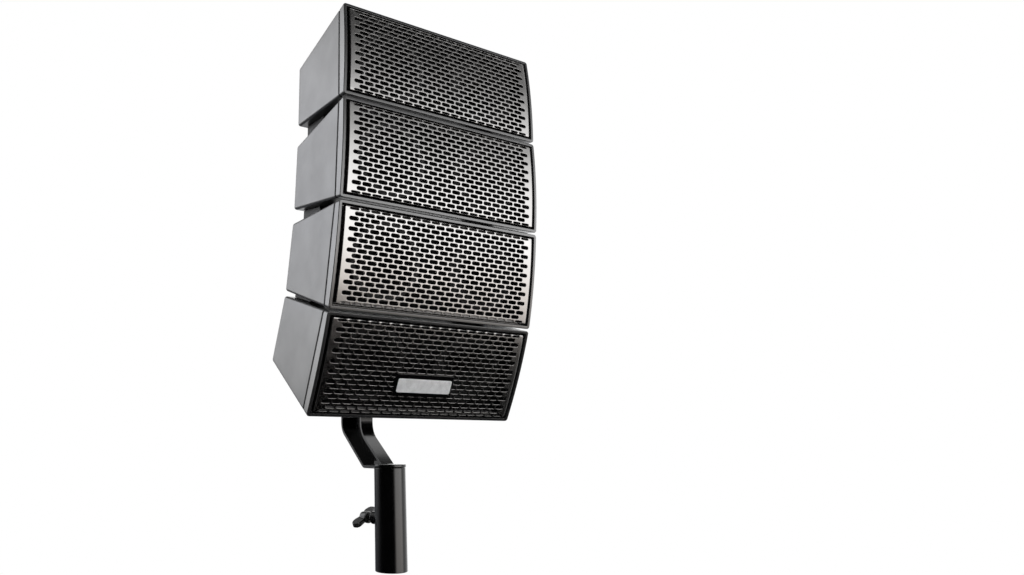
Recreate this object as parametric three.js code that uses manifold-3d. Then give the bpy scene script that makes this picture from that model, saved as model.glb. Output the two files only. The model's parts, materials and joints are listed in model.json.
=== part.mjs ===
// Loudspeaker column: four wedge modules in a J curve, carried by a rear arm on a pole socket.
// Millimetres, +Z up, front towards -Y. The origin is the centre of the pole socket's mouth.
import * as THREE from 'three';
import { mergeVertices } from 'three/addons/utils/BufferGeometryUtils.js';
import Module from 'manifold-3d';

const wasm = await Module();
wasm.setup();

const degrees = Math.PI / 180;
const gap = 0.3;                       // air left between two pieces that touch
const overshoot = 2;                   // how far a cutting tool runs past the faces it cuts

// Column
const width = 318;
const frontHeight = 136;               // front chord of one module
const depth = 150.5;                   // front corner to rear corner along the module's axis
const wedgeAngle = 7.5 * degrees;      // slope of a module's top and bottom against its axis
const splay = [0, 4, 8.5, 13.5];       // tilt that each module adds to the one above, degrees
const frontGap = 3;                    // between two modules' front corners
const topModule = { y: -166.7, z: 663.9 };
const edgeRound = 4;

// Module front
const frontBulge = 3;                  // how far the curved front stands past its chord
const bezelDepth = 13.3;
const bezelRim = 4.2;
const ledgeDepth = 4;                  // rear part of the bezel that carries the grille
const ledgeWidth = 7;
const grilleGap = { side: 3.6, top: 2 };
const grilleSheet = 1.2;
const grilleProud = 0.8;               // grille stands this far past the bezel
const wall = 4;
const baffleFront = 16;
const baffleThickness = 8;
const badge = { width: 90, height: 31, z: -19.5, thickness: 1.6 };

// Drivers
const wooferX = -78;
const hornX = 76;
const woofer = { flange: 52, flangeDepth: 3, cutout: 46.5, frame: 2 };
const cone = { radius: 43, surround: 7, coil: 13, capDepth: 36.5 };
const magnet = { radius: 36, front: 54, back: 74, pole: 50, gapFloor: 68, gapWidth: 3.2 };
const horn = {
  mouthX: 50,
  mouthZ: 43,
  throat: 12.5,
  depth: 46,
  flange: 6,
  wall: 2.2,
  flareCurve: 1.8,
  driverFlange: 12,                    // reach past the throat
  cutoutMargin: 2.5,
};
const driver = { neck: 24, neckDepth: 5, body: 31, bodyBack: 26, back: 30, bore: 8, edge: 5 };
const board = { y: 100, thickness: 2, left: -34, right: 24, height: 38, sunk: 0.5 };
const boardCans = [
  { x: -16, z: 20, radius: 13 },
  { x: -14, z: -6, radius: 9 },
  { x: 12, z: 12, radius: 8 },
];
const canHeight = 16;
const resistor = { left: -16, right: 14, low: -30, high: -20, height: 9 };
const splayPlate = { front: 84, rear: 140, inner: 34, outer: 12 };

// Rear input panel, on the top module
const inputPlate = { width: 92, height: 52, thickness: 2.5 };
const inputHole = { width: 74, height: 36 };
const jackX = 20;
const jack = { bore: 3.2, collar: 6, collarHeight: 5, body: 9, length: 30, hole: 6.5 };
const jackNut = { bore: 7.3, radius: 9.5, height: 3 };
const panelScrewSize = { shank: 1.5, length: 8, head: 3.2, headHeight: 2, hole: 1.8, inset: 4 };

// Pole socket and arm
const socket = { bore: 18.1, outer: 22, length: 132.7, rim: 0.6 };
const capRadius = 22.8;
const capTop = 137.4;
const capPlug = 9;                     // how far the cap reaches into the socket
const capEdge = 1.8;
const arm = {
  front: { foot: 5.5, knee: 66 },
  rear: { foot: 60, head: 132.5 },
  kneeHeight: 183,
  headHeight: 240,
  waistRise: 4,                        // the rear knee stands this much above the front one
  seatMargin: 3,                       // mounting plate left showing past the arm's seat
  lead: { along: 6, back: 1 },         // relief below the seat
  crown: { along: 4, back: 12 },       // slope from the top of the seat to the head
  rounding: { knee: 16, crown: 4, head: 12, waist: 14, foot: 5 },
};
const armWidth = 20;
const armSheet = 3;                    // web of the channel
const armFlange = 4;
const footBottom = 131;                // underside of the arm behind the socket
const mountPlate = { width: 96, height: 70, thickness: 5 };
const mountBolt = { x: 38, z: 26, shank: 3, head: 6, headHeight: 4.4, length: 14, hole: 3.4 };

// Clamp screw
const screwHeight = 65.5;
const screwTurn = 22 * degrees;        // the screw points back and left
const screwRadius = 3.8;
const screwBore = 4.2;
const boss = { radius: 8.5, end: 31 };
const padLength = 5;
const knob = { start: 36, hub: 8, end: 51.5, middle: 47.5, lobe: 8, reach: 15.5, thickness: 7 };
const wingTurn = -26 * degrees;

const slope = Math.tan(wedgeAngle);
const grilleHalfZ = frontHeight / 2 - bezelRim - grilleGap.top;

// ---------- materials ----------

function finish(color, roughness, metalness) {
  return new THREE.MeshStandardMaterial({ color, roughness, metalness });
}

const materials = {
  cabinet: finish(0x2b2c2e, 0.45, 0.0),
  bezel: finish(0x232426, 0.4, 0.0),
  grille: finish(0x1c1d1e, 0.4, 0.8),
  baffle: finish(0x1a1a1a, 0.8, 0.0),
  steel: finish(0x101011, 0.25, 0.6),
  basket: finish(0x151515, 0.5, 0.5),
  cone: finish(0x202020, 0.8, 0.0),
  horn: finish(0x171717, 0.5, 0.0),
  magnet: finish(0x5c5e61, 0.4, 0.9),
  zinc: finish(0xa9acb0, 0.35, 0.9),
  knob: finish(0x121212, 0.5, 0.0),
  nylon: finish(0xd8d4c8, 0.6, 0.0),
  board: finish(0x1e4a2c, 0.6, 0.0),
  badge: finish(0xb9bcc0, 0.3, 0.9),
};

// ---------- geometry helpers ----------

function solid(geometry) {
  const bare = geometry.clone();
  bare.deleteAttribute('normal');
  bare.deleteAttribute('uv');
  const merged = mergeVertices(bare, 1e-3);
  return new wasm.Manifold(new wasm.Mesh({
    numProp: 3,
    vertProperties: new Float32Array(merged.attributes.position.array),
    triVerts: new Uint32Array(merged.index.array),
  }));
}

function toGeometry(manifold) {
  const mesh = manifold.getMesh();
  const geometry = new THREE.BufferGeometry();
  geometry.setAttribute('position', new THREE.BufferAttribute(new Float32Array(mesh.vertProperties), 3));
  geometry.setIndex(new THREE.BufferAttribute(new Uint32Array(mesh.triVerts), 1));
  geometry.computeVertexNormals();
  return geometry;
}

function cut(base, ...tools) {
  return toGeometry(tools.reduce((whole, tool) => whole.subtract(solid(tool)), solid(base)));
}

function join(base, ...others) {
  return toGeometry(others.reduce((whole, other) => whole.add(solid(other)), solid(base)));
}

// A side outline, given in (y, z), carried along X from x0 to x1.
function sidePrism(outline, x0, x1) {
  const settings = { depth: x1 - x0, bevelEnabled: false, curveSegments: 6 };
  const geometry = new THREE.ExtrudeGeometry(outline, settings);
  return geometry.applyMatrix4(new THREE.Matrix4().set(0, 0, 1, x0, 1, 0, 0, 0, 0, 1, 0, 0, 0, 0, 0, 1));
}

// A front outline, given in (x, z), carried along Y from y0 to y1.
function frontPlate(outline, y0, y1, curveSegments = 12) {
  const geometry = new THREE.ExtrudeGeometry(outline, { depth: y1 - y0, bevelEnabled: false, curveSegments });
  return geometry.rotateX(Math.PI / 2).translate(0, y1, 0);
}

function block(x0, x1, y0, y1, z0, z1) {
  const box = new THREE.BoxGeometry(x1 - x0, y1 - y0, z1 - z0);
  return box.translate((x0 + x1) / 2, (y0 + y1) / 2, (z0 + z1) / 2);
}

function polygon(points) {
  return new THREE.Shape(points.map(([a, b]) => new THREE.Vector2(a, b)));
}

// A profile of [radius, place along Y], turned about the Y axis: it runs from axis to axis or round a loop.
function turned(profile, segments = 16) {
  const points = profile.map(([r, y]) => new THREE.Vector2(r, y));
  const anticlockwise = THREE.ShapeUtils.area(points) > 0;
  return new THREE.LatheGeometry(anticlockwise ? points : points.reverse(), segments);
}

function closed(profile) {
  return [...profile, profile[0]];
}

function piece(name, geometry, material) {
  const mesh = new THREE.Mesh(geometry, materials[material]);
  mesh.name = name;
  return mesh;
}

// ---------- one module, in its own frame: origin at the middle of the front chord ----------

// Side outline of the curved front: from the bottom corner to the top one along the arc, then back to y.
function frontOutline(halfHeight, bulge, start, back) {
  const radius = (halfHeight ** 2 + bulge ** 2) / (2 * bulge);
  const half = Math.asin(halfHeight / radius);
  const outline = new THREE.Shape();
  outline.moveTo(back, -halfHeight + slope * back);
  outline.absarc(start + radius - bulge, 0, radius, Math.PI + half, Math.PI - half, true);
  outline.lineTo(back, halfHeight - slope * back);
  return outline;
}

function wedgeHalf(y) {
  return frontHeight / 2 - slope * y;
}

function cabinetShell(rearCut) {
  const front = bezelDepth + gap;
  const outline = new THREE.Shape();
  const corner = depth - edgeRound;
  outline.moveTo(front, -wedgeHalf(front));
  outline.lineTo(corner, -wedgeHalf(corner));
  outline.quadraticCurveTo(depth, -wedgeHalf(depth), depth, -wedgeHalf(depth) + edgeRound);
  outline.lineTo(depth, wedgeHalf(depth) - edgeRound);
  outline.quadraticCurveTo(depth, wedgeHalf(depth), corner, wedgeHalf(corner));
  outline.lineTo(front, wedgeHalf(front));
  const rear = depth - wall;
  const hollow = polygon([
    [front - 5, wall - wedgeHalf(front - 5)],
    [rear, wall - wedgeHalf(rear)],
    [rear, wedgeHalf(rear) - wall],
    [front - 5, wedgeHalf(front - 5) - wall],
  ]);
  const cuts = [sidePrism(hollow, wall - width / 2, width / 2 - wall), ...rearCut];
  return cut(sidePrism(outline, -width / 2, width / 2), ...cuts);
}

function frontBezel() {
  const half = frontHeight / 2;
  const outer = sidePrism(frontOutline(half, frontBulge, 0, bezelDepth), -width / 2, width / 2);
  const openX = width / 2 - bezelRim;
  const openZ = half - bezelRim;
  const ledgeStart = bezelDepth - ledgeDepth;
  const mouth = block(-openX, openX, -20, ledgeStart, -openZ, openZ);
  const through = block(ledgeWidth - openX, openX - ledgeWidth, -20, bezelDepth + 5, ledgeWidth - openZ - 1,
    openZ - ledgeWidth + 1);
  return cut(outer, mouth, through);
}

// The grille is a shallow curved pan whose folded edges stand on the bezel's ledge.
function grillePan() {
  const halfX = width / 2 - bezelRim - grilleGap.side;
  const back = bezelDepth - ledgeDepth - gap;
  const pan = (x, z, start, rear) => {
    const radius = (z ** 2 + frontBulge ** 2) / (2 * frontBulge);
    const half = Math.asin(z / radius);
    const outline = new THREE.Shape();
    outline.moveTo(rear, -z);
    outline.absarc(start + radius - frontBulge, 0, radius, Math.PI + half, Math.PI - half, true);
    outline.lineTo(rear, z);
    return sidePrism(outline, -x, x);
  };
  const inner = pan(halfX - grilleSheet, grilleHalfZ - grilleSheet, grilleSheet - grilleProud, back + 5);
  return cut(pan(halfX, grilleHalfZ, -grilleProud, back), inner);
}

// A flat plate laid along the grille's curve.
function badgePlate() {
  const radius = (grilleHalfZ ** 2 + frontBulge ** 2) / (2 * frontBulge);
  const lean = Math.asin(-badge.z / radius);
  const surface = radius * (1 - Math.cos(lean)) - frontBulge - grilleProud;
  const plate = new THREE.BoxGeometry(badge.width, badge.thickness, badge.height);
  return plate.rotateX(lean).translate(0, surface - badge.thickness / 2 - 1.5 * gap, badge.z);
}

function ellipse(x, radiusX, radiusZ) {
  const outline = new THREE.Shape();
  outline.absellipse(x, 0, radiusX, radiusZ, 0, 2 * Math.PI, false, 0);
  return outline;
}

function baffle() {
  const halfX = width / 2 - wall - 0.5;
  const halfZ = wedgeHalf(baffleFront + baffleThickness) - wall - 1;
  const y1 = baffleFront + baffleThickness;
  const plate = block(-halfX, halfX, baffleFront, y1, -halfZ, halfZ);
  const { mouthX, mouthZ, cutoutMargin } = horn;
  const through = (outline) => frontPlate(outline, baffleFront - overshoot, y1 + overshoot);
  const wooferHole = through(ellipse(wooferX, woofer.cutout, woofer.cutout));
  const hornHole = through(ellipse(hornX, mouthX + cutoutMargin, mouthZ + cutoutMargin));
  return cut(plate, wooferHole, hornHole);
}

const flangeBack = baffleFront - gap;
const flangeFront = flangeBack - woofer.flangeDepth;

// Flange, cone-shaped frame and magnet in one turned piece, with the ring gap that the voice coil runs in.
function wooferBasket() {
  const { flange, cutout, frame } = woofer;
  const pole = cone.coil - 1;
  const frameStart = flangeBack + 7;
  return turned([
    [0, magnet.pole], [pole, magnet.pole], [pole, magnet.gapFloor],
    [pole + magnet.gapWidth, magnet.gapFloor], [pole + magnet.gapWidth, magnet.front],
    [magnet.radius - frame - 1, magnet.front - 3], [cutout - frame - 1, frameStart],
    [cutout - frame, flangeFront], [flange, flangeFront], [flange, flangeBack], [cutout - 1, flangeBack],
    [cutout - frame, frameStart + 1],
    [magnet.radius, magnet.front], [magnet.radius, magnet.back], [0, magnet.back],
  ]);
}

// Dust cap, paper cone, surround roll and voice-coil former, which move together.
function wooferCone() {
  const { radius, coil, surround, capDepth } = cone;
  const rim = flangeFront - 0.8;
  const roll = surround / 2;
  const neck = capDepth + 6;
  const formerEnd = magnet.gapFloor - 10;
  return turned([
    [0, capDepth], [coil * 0.6, capDepth + 2], [coil, neck], [coil + 0.4, neck - 0.5],
    [radius - surround, rim], [radius - roll, rim - 3], [radius, rim], [radius, rim + 1.5],
    [radius - roll, rim - 1.6], [radius - surround, rim + 2],
    [coil + 0.8, neck + 1.5], [coil + 0.8, formerEnd], [coil - 0.2, formerEnd], [coil - 0.2, neck + 1],
    [coil * 0.6, capDepth + 3], [0, capDepth + 1],
  ]);
}

// A round throat that opens to an oval mouth, with the mouth's flange and the driver's flange.
function hornFlare() {
  const { mouthX, mouthZ, throat, depth: hornDepth, wall: hornWall, flange, flareCurve } = horn;
  const back = flangeFront + hornDepth;
  const shares = [0, 0.35, 0.7, 1];
  const curve = shares.map((t) => [throat + (mouthX - throat) * t ** flareCurve, back - hornDepth * t]);
  const outside = curve.slice(1, -1).map(([r, y]) => [r + hornWall, y]).reverse();
  const driverFlange = throat + horn.driverFlange;
  const flare = turned(closed([
    ...curve, [mouthX + flange, flangeFront], [mouthX + flange, flangeBack], [mouthX, flangeBack], ...outside,
    [throat + 3, back - 3], [driverFlange, back - 3], [driverFlange, back],
  ]), 20);
  const position = flare.attributes.position;
  for (let index = 0; index < position.count; index += 1) {
    const opened = (back - position.getY(index)) / hornDepth;
    position.setZ(index, position.getZ(index) * (1 + (mouthZ / mouthX - 1) * opened));
  }
  return flare;
}

function compressionDriver() {
  const front = flangeFront + horn.depth + gap;
  const { neck, neckDepth, body, bodyBack, back, bore, edge } = driver;
  return turned([
    [0, front + bore], [bore, front + bore], [bore, front], [neck, front], [neck, front + neckDepth],
    [body, front + neckDepth + 2], [body, front + bodyBack], [body - edge, front + back], [0, front + back],
  ]);
}

function moduleGroup(number, rearCut) {
  const group = new THREE.Group();
  const name = (part) => `module_${number}_${part}`;
  group.add(piece(name('cabinet_shell'), cabinetShell(rearCut), 'cabinet'));
  group.add(piece(name('front_bezel'), frontBezel(), 'bezel'));
  group.add(piece(name('grille'), grillePan(), 'grille'));
  group.add(piece(name('baffle'), baffle(), 'baffle'));
  group.add(piece(name('woofer_basket'), wooferBasket().translate(wooferX, 0, 0), 'basket'));
  group.add(piece(name('woofer_cone'), wooferCone().translate(wooferX, 0, 0), 'cone'));
  group.add(piece(name('horn'), hornFlare().translate(hornX, 0, 0), 'horn'));
  group.add(piece(name('compression_driver'), compressionDriver().translate(hornX, 0, 0), 'magnet'));
  return group;
}

// ---------- rear input panel, in its module's frame ----------

// Round holes through the cabinet's rear wall, for screws and bolts.
function rearHoles(places, radius) {
  return places.map(([x, z]) => {
    return frontPlate(ellipse(0, radius, radius), depth - 2 * wall, depth + wall, 4).translate(x, 0, z);
  });
}

function rearOpening() {
  const { width: w, height: h } = inputHole;
  return block(-w / 2, w / 2, depth - 2 * wall, depth + wall, -h / 2, h / 2);
}

function inputPanel() {
  const { width: w, height: h, thickness: t } = inputPlate;
  const y = depth + gap;
  const through = (outline, segments) => frontPlate(outline, y - overshoot, y + t + overshoot, segments);
  const jackHole = (x) => through(ellipse(x, jack.hole, jack.hole), 16);
  const holes = [-jackX, jackX].map(jackHole);
  const { hole } = panelScrewSize;
  const screwHoles = panelScrewPlaces().map(([x, z]) => {
    return through(ellipse(0, hole, hole), 4).translate(x, 0, z);
  });
  return cut(block(-w / 2, w / 2, y, y + t, -h / 2, h / 2), ...holes, ...screwHoles);
}

function panelScrewPlaces() {
  const x = inputPlate.width / 2 - panelScrewSize.inset;
  const z = inputPlate.height / 2 - panelScrewSize.inset;
  return [[-x, -z], [x, -z], [-x, z], [x, z]];
}

function inputJack() {
  const y = depth + gap + inputPlate.thickness;
  const { bore, collar, collarHeight, body, length } = jack;
  const bodyFront = y - inputPlate.thickness - 2.5;
  return turned(closed([
    [bore, y + collarHeight], [collar, y + collarHeight], [collar, bodyFront], [body, bodyFront],
    [body, y - length],
    [bore, y - length],
  ]));
}

// A hexagon nut on the jack's collar.
function jackNutRing() {
  const y = depth + gap + inputPlate.thickness + gap;
  const { bore, radius, height } = jackNut;
  return turned(closed([[bore, y], [radius, y], [radius, y + height], [bore, y + height]]), 6);
}

function panelScrew() {
  const y = depth + gap + inputPlate.thickness + gap;
  const { shank, length, head, headHeight } = panelScrewSize;
  return turned([
    [0, y - length], [shank, y - length], [shank, y], [head, y], [head - 0.6, y + headHeight - 0.4],
    [0, y + headHeight],
  ], 10);
}

// A board with two wound coils, a capacitor and a resistor on its front.
function crossoverBoard() {
  const { y, thickness, left, right, height, sunk } = board;
  const plate = block(left, right, y, y + thickness, -height, height);
  const cans = boardCans.map(({ x, z, radius }) => {
    return frontPlate(ellipse(0, radius, radius), y - canHeight, y + sunk, 10).translate(x, 0, z);
  });
  const { low, high } = resistor;
  const brick = block(resistor.left, resistor.right, y - resistor.height, y + sunk, low, high);
  return join(plate, ...cans, brick);
}

// ---------- joints between modules ----------

// Where each module stands: every front corner sits frontGap below the one above it.
function modulePlaces() {
  const places = [];
  let tilt = 0;
  for (const step of splay) {
    tilt += step * degrees;
    const up = [-Math.sin(tilt), Math.cos(tilt)];
    if (places.length === 0) {
      places.push({ ...topModule, tilt });
      continue;
    }
    const above = places.at(-1);
    const half = frontHeight / 2;
    const middle = (above.tilt + tilt) / 2;
    const cornerY = above.y + Math.sin(above.tilt) * half + Math.sin(middle) * frontGap;
    const cornerZ = above.z - Math.cos(above.tilt) * half - Math.cos(middle) * frontGap;
    places.push({ y: cornerY - up[0] * half, z: cornerZ - up[1] * half, tilt });
  }
  return places;
}

// The wedge between one module and the next, in the upper one's frame: a splay block fills it.
function splayBlock(step, x0, x1) {
  const turn = step * degrees;
  const half = frontHeight / 2;
  const cornerY = Math.sin(turn / 2) * frontGap;
  const cornerZ = -half - Math.cos(turn / 2) * frontGap;
  const below = turn - wedgeAngle;
  const upperFace = (y) => -wedgeHalf(y) - gap;
  const lowerFace = (y) => cornerZ + Math.tan(below) * (y - cornerY) + gap;
  const { front, rear } = splayPlate;
  const outline = polygon([
    [front, lowerFace(front)], [rear, lowerFace(rear)], [rear, upperFace(rear)], [front, upperFace(front)],
  ]);
  return sidePrism(outline, x0, x1);
}

// ---------- bracket ----------

function rearPlate() {
  const { width: w, height: h, thickness: t } = mountPlate;
  const y = depth + gap;
  const holes = boltPlaces().map(([x, z]) => {
    const outline = ellipse(0, mountBolt.hole, mountBolt.hole);
    return frontPlate(outline, y - overshoot, y + t + overshoot, 4).translate(x, 0, z);
  });
  return cut(block(-w / 2, w / 2, y, y + t, -h / 2, h / 2), ...holes);
}

function boltPlaces() {
  const { x, z } = mountBolt;
  return [[-x, -z], [x, -z], [-x, z], [x, z]];
}

function mountBoltPiece() {
  const y = depth + gap + mountPlate.thickness + gap;
  const { shank, head, headHeight, length } = mountBolt;
  return turned([
    [0, y - length], [shank, y - length], [shank, y], [head, y], [head, y + headHeight - 1.2],
    [head - 1.2, y + headHeight], [0, y + headHeight],
  ], 12);
}

// The arm's side outline in the column's frame, as corners [y, z, rounding]: a foot on the socket's cap, a
// rising stretch, then a tall head whose front lies on the bottom module's mounting plate.
function armCorners(place) {
  const seat = depth + 2 * gap + mountPlate.thickness;
  const onRear = (along, beyond = 0) => [
    place.y + Math.cos(place.tilt) * (seat + beyond) - Math.sin(place.tilt) * along,
    place.z + Math.sin(place.tilt) * (seat + beyond) + Math.cos(place.tilt) * along,
  ];
  const { front, rear, lead, crown, rounding } = arm;
  const contact = mountPlate.height / 2 - arm.seatMargin;
  return [
    [front.foot, capTop + gap, 0], [front.knee, arm.kneeHeight, rounding.knee],
    [...onRear(-contact - lead.along, lead.back), 0], [...onRear(-contact), 0], [...onRear(contact), 0],
    [...onRear(contact - crown.along, crown.back), rounding.crown],
    [rear.head, arm.headHeight, rounding.head], [rear.head, arm.kneeHeight + arm.waistRise, rounding.waist],
    [rear.foot, footBottom, rounding.foot], [capRadius + gap, footBottom, 0],
    [capRadius + gap, capTop + gap, 0],
  ];
}

function roundedShape(corners) {
  const outline = new THREE.Shape();
  corners.forEach(([y, z, rounding], index) => {
    const here = new THREE.Vector2(y, z);
    const before = new THREE.Vector2(...corners.at(index - 1));
    const after = new THREE.Vector2(...corners[(index + 1) % corners.length]);
    const start = here.clone().add(before.sub(here).setLength(rounding));
    const end = here.clone().add(after.sub(here).setLength(rounding));
    const arrive = index === 0 ? 'moveTo' : 'lineTo';
    outline[arrive](start.x, start.y);
    if (rounding > 0) {
      outline.quadraticCurveTo(here.x, here.y, end.x, end.y);
    }
  });
  return outline;
}

// The same corners, which run clockwise, moved inwards so that every side stands back by the distance.
function insetCorners(corners, distance) {
  return corners.map(([y, z, rounding], index) => {
    const here = new THREE.Vector2(y, z);
    const arriving = here.clone().sub(new THREE.Vector2(...corners.at(index - 1))).normalize();
    const leaving = new THREE.Vector2(...corners[(index + 1) % corners.length]).sub(here).normalize();
    const turn = arriving.cross(leaving);
    const shift = arriving.clone().sub(leaving).multiplyScalar(distance / turn);
    const moved = here.add(shift);
    return [moved.x, moved.y, Math.max(rounding + Math.sign(turn) * distance, 0)];
  });
}

// A channel with a flange all round it, open to the left.
function bracketArm(place) {
  const corners = armCorners(place);
  const outer = sidePrism(roundedShape(corners), -armWidth / 2, armWidth / 2);
  const hollow = roundedShape(insetCorners(corners, armFlange));
  return cut(outer, sidePrism(hollow, -armWidth, armWidth / 2 - armSheet));
}

function socketTube() {
  const { bore, outer, length, rim } = socket;
  const tube = turned(closed([
    [bore + rim, 0], [outer - rim, 0], [outer, rim], [outer, length], [bore, length], [bore, rim],
  ]), 32).rotateX(Math.PI / 2);
  const drillStart = bore / 2;
  const drillEnd = 2 * outer;
  const drill = turned([[0, drillStart], [screwBore, drillStart], [screwBore, drillEnd], [0, drillEnd]], 12);
  return cut(tube, drill.rotateZ(screwTurn).translate(0, 0, screwHeight));
}

function socketCap() {
  const floor = socket.length + gap;
  const plugRadius = socket.bore - 0.4;
  return turned([
    [0, floor - capPlug], [plugRadius, floor - capPlug], [plugRadius, floor], [capRadius, floor],
    [capRadius, capTop - capEdge], [capRadius - capEdge, capTop], [0, capTop],
  ], 32).rotateX(Math.PI / 2);
}

function clampBoss() {
  const ring = turned(closed([
    [screwBore, socket.bore], [boss.radius, socket.bore], [boss.radius, boss.end], [screwBore, boss.end],
  ]), 12).rotateZ(screwTurn).translate(0, 0, screwHeight);
  const pipe = turned([
    [0, screwHeight - socket.outer], [socket.outer + gap, screwHeight - socket.outer],
    [socket.outer + gap, screwHeight + socket.outer], [0, screwHeight + socket.outer],
  ], 32).rotateX(Math.PI / 2);
  return cut(ring, pipe);
}

// The screw points along +Y before the group turns it.
function clampPad() {
  const start = socket.bore + gap;
  return turned([
    [0, start], [screwRadius - 0.8, start], [screwRadius, start + 0.8], [screwRadius, start + padLength],
    [0, start + padLength],
  ], 12);
}

function wingScrew() {
  const start = socket.bore + padLength + 2 * gap;
  const stem = turned([
    [0, start], [screwRadius, start], [screwRadius, knob.start], [knob.hub - 1, knob.start],
    [knob.hub, knob.start + 1], [knob.hub - 1.5, knob.end], [0, knob.end],
  ], 14);
  const wing = new THREE.Shape();
  const y = knob.middle;
  wing.moveTo(0, y - 8);
  wing.quadraticCurveTo(knob.reach * 0.5, y - 9, knob.reach, y - knob.lobe);
  wing.absarc(knob.reach, y, knob.lobe, -Math.PI / 2, Math.PI * 0.6, false);
  wing.quadraticCurveTo(0, y - 1, -knob.reach + knob.lobe * Math.cos(Math.PI * 0.4), y + knob.lobe * 0.95);
  wing.absarc(-knob.reach, y, knob.lobe, Math.PI * 0.4, Math.PI * 1.5, false);
  wing.quadraticCurveTo(-knob.reach * 0.5, y - 9, 0, y - 8);
  const settings = { depth: knob.thickness, bevelEnabled: false, curveSegments: 5 };
  const blade = new THREE.ExtrudeGeometry(wing, settings);
  blade.translate(0, 0, -knob.thickness / 2).rotateY(wingTurn);
  return join(stem, blade);
}

// ---------- assembly ----------

const group = new THREE.Group();
const places = modulePlaces();
const rearCuts = places.map(() => []);
rearCuts[0] = [rearOpening(), ...rearHoles(panelScrewPlaces(), panelScrewSize.hole)];
rearCuts[places.length - 1] = rearHoles(boltPlaces(), mountBolt.hole);
const modules = places.map((place, index) => {
  const module = moduleGroup(index + 1, rearCuts[index]);
  module.position.set(0, place.y, place.z);
  module.rotation.x = place.tilt;
  group.add(module);
  return module;
});

for (let index = 1; index < modules.length; index += 1) {
  const inner = width / 2 - splayPlate.inner;
  const outer = width / 2 - splayPlate.outer;
  const name = `splay_block_${index}_${index + 1}`;
  modules[index - 1].add(piece(`${name}_left`, splayBlock(splay[index], -outer, -inner), 'steel'));
  modules[index - 1].add(piece(`${name}_right`, splayBlock(splay[index], inner, outer), 'steel'));
}

const inputModule = modules[0];
inputModule.add(piece('input_plate', inputPanel(), 'steel'));
inputModule.add(piece('input_jack_left', inputJack().translate(-jackX, 0, 0), 'zinc'));
inputModule.add(piece('input_jack_right', inputJack().translate(jackX, 0, 0), 'zinc'));
inputModule.add(piece('input_jack_nut_left', jackNutRing().translate(-jackX, 0, 0), 'zinc'));
inputModule.add(piece('input_jack_nut_right', jackNutRing().translate(jackX, 0, 0), 'zinc'));
panelScrewPlaces().forEach(([x, z], index) => {
  inputModule.add(piece(`input_plate_screw_${index + 1}`, panelScrew().translate(x, 0, z), 'zinc'));
});
inputModule.add(piece('crossover_board', crossoverBoard(), 'board'));

const bottomModule = modules.at(-1);
bottomModule.add(piece('badge_plate', badgePlate(), 'badge'));
bottomModule.add(piece('mount_plate', rearPlate(), 'steel'));
boltPlaces().forEach(([x, z], index) => {
  bottomModule.add(piece(`mount_bolt_${index + 1}`, mountBoltPiece().translate(x, 0, z), 'zinc'));
});

group.add(piece('bracket_arm', bracketArm(places.at(-1)), 'steel'));
group.add(piece('socket_tube', socketTube(), 'steel'));
group.add(piece('socket_cap', socketCap(), 'steel'));
group.add(piece('clamp_boss', clampBoss(), 'steel'));

const screw = new THREE.Group();
screw.position.z = screwHeight;
screw.rotation.z = screwTurn;
screw.add(piece('clamp_pad', clampPad(), 'nylon'));
screw.add(piece('wing_screw', wingScrew(), 'knob'));
group.add(screw);

export default group;
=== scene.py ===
# Mini line-array loudspeaker column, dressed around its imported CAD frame.
# Shapes are worked out in millimetres and turned into metres when their mesh is made.
import json
import math

import bmesh
import bpy
from mathutils import Matrix, Vector


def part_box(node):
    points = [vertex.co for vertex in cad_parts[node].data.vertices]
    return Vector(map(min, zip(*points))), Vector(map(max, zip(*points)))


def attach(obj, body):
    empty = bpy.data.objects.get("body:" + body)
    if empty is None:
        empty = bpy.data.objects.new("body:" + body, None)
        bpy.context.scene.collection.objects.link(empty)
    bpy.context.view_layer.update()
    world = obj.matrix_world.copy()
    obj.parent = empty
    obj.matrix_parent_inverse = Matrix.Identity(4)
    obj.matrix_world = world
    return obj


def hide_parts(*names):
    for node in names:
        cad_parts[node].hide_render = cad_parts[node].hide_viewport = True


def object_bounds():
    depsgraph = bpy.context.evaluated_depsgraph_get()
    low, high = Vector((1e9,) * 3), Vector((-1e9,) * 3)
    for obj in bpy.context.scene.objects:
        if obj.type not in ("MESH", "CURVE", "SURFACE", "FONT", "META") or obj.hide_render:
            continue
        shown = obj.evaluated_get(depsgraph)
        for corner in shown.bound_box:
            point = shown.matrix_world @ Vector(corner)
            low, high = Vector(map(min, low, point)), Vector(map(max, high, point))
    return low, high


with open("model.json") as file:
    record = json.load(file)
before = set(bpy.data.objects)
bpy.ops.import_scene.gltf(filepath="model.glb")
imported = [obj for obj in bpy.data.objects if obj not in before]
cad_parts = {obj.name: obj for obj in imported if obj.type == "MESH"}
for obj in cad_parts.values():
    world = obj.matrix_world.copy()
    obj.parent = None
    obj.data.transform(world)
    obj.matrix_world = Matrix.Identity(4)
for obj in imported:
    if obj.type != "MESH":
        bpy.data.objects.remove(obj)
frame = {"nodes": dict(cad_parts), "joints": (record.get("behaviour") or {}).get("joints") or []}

cad_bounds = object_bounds()
MM = 0.001

# ---------- driving dimensions, millimetres ----------

MODULES = 4
HALF_WIDTH = 159.0
HALF_FRONT = 68.0               # half the front chord of a module
DEPTH = 150.5
SLOPE = math.tan(math.radians(7.5))
EDGE_ROUND = 4.0
REAR_ROUND = 5.0
WALL = 4.0
BEZEL_DEPTH = 13.3
BEZEL_RIM = 4.2
BEZEL_NOSE = 0.9                # radius of the bezel's front outside edge
LEDGE = 9.3                     # depth of the ledge that the grille stands on
LEDGE_WIDTH = 6.0
BULGE = 3.0
GAP = 0.3

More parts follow.
